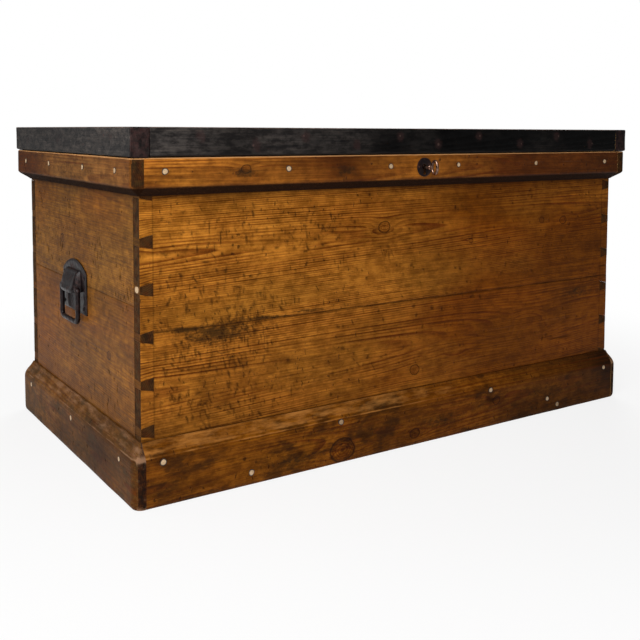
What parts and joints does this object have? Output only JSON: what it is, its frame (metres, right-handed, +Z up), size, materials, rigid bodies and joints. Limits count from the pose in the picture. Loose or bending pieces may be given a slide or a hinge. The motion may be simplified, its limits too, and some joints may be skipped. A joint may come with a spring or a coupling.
{
  "type": "fitted chest",
  "caption": "Dovetailed pine chest with bevelled plinth and band, dark rimmed lid on hinges, iron lifting handles and a lock with its key.",
  "frame": {"origin": "on the floor, at the middle of the whole footprint, key and hinges included", "axes": "+X to the right along the front, +Y to the back, +Z up; the front faces -Y"},
  "size_m": [0.98, 0.5859, 0.5093],
  "materials": {
    "pine": "old waxed pine, dented",
    "plinth_pine": "old waxed pine, scuffed",
    "band_pine": "old waxed pine",
    "painted_pine": "worn black paint on pine",
    "black_iron": "blackened iron",
    "lock_iron": "dull iron",
    "key_iron": "rubbed steel",
    "nail_iron": "dull iron",
    "peg_wood": "pale filler and pegs"
  },
  "bodies": {
    "chest": {"front_board_lower": "pine", "front_board_upper": "pine", "back_board_lower": "pine", "back_board_upper": "pine", "left_end_board_lower": "pine", "left_end_board_upper": "pine", "right_end_board_lower": "pine", "right_end_board_upper": "pine", "bottom_board_1": "pine", "bottom_board_2": "pine", "bottom_board_3": "pine", "bottom_board_4": "pine", "bottom_board_5": "pine", "plinth_front": "plinth_pine", "plinth_back": "plinth_pine", "plinth_left": "plinth_pine", "plinth_right": "plinth_pine", "band_front": "band_pine", "band_back": "band_pine", "band_left": "band_pine", "band_right": "band_pine", "left_hinge_lower_leaf": "black_iron", "right_hinge_lower_leaf": "black_iron", "left_hinge_pin": "black_iron", "right_hinge_pin": "black_iron", "left_handle_plate": "black_iron", "right_handle_plate": "black_iron", "left_handle_screws": "black_iron", "right_handle_screws": "black_iron", "lock_case": "lock_iron", "lock_cap": "lock_iron", "lock_spring": "lock_iron", "escutcheon": "black_iron", "escutcheon_pins": "key_iron", "band_pegs": "peg_wood", "plinth_pegs": "peg_wood", "bottom_nails": "nail_iron", "hinge_screws_lower": "nail_iron", "lock_screws": "nail_iron"},
    "lid": {"lid_rim_left": "painted_pine", "lid_rim_right": "painted_pine", "lid_rim_front": "painted_pine", "lid_rim_back": "painted_pine", "lid_board_1": "painted_pine", "lid_board_2": "painted_pine", "lid_board_3": "painted_pine", "left_hinge_upper_leaf": "black_iron", "right_hinge_upper_leaf": "black_iron", "link_plate": "lock_iron", "lid_nails": "nail_iron", "hinge_screws_upper": "nail_iron", "link_plate_screws": "nail_iron"},
    "left_bail_body": {"left_bail": "black_iron"},
    "right_bail_body": {"right_bail": "black_iron"},
    "bolt_body": {"lock_bolt": "lock_iron"},
    "key_body": {"key": "key_iron"}
  },
  "joints": [
    {"name": "lid_hinge", "type": "hinge", "parent": "chest", "child": "lid", "pos_m": [0, 0.2889, 0.46975], "axis": [-1, 0, 0], "range_deg": [0, 105]},
    {"name": "left_bail_swing", "type": "hinge", "parent": "chest", "child": "left_bail_body", "pos_m": [-0.4795, 0.025, 0.26005], "axis": [0, 1, 0], "range_deg": [-4, 180]},
    {"name": "right_bail_swing", "type": "hinge", "parent": "chest", "child": "right_bail_body", "pos_m": [0.4795, 0.025, 0.26005], "axis": [0, -1, 0], "range_deg": [-4, 180]},
    {"name": "key_turn", "type": "hinge", "parent": "chest", "child": "key_body", "pos_m": [0, -0.24, 0.4486], "axis": [0, 1, 0], "range_deg": [0, 360]},
    {"name": "bolt_slide", "type": "slide", "parent": "chest", "child": "bolt_body", "axis": [1, 0, 0], "range_m": [0, 0.009]}
  ],
  "couplings": [
    {"joint": "bolt_slide", "follows": "key_turn", "m_per_rad": 0.0014324}
  ]
}
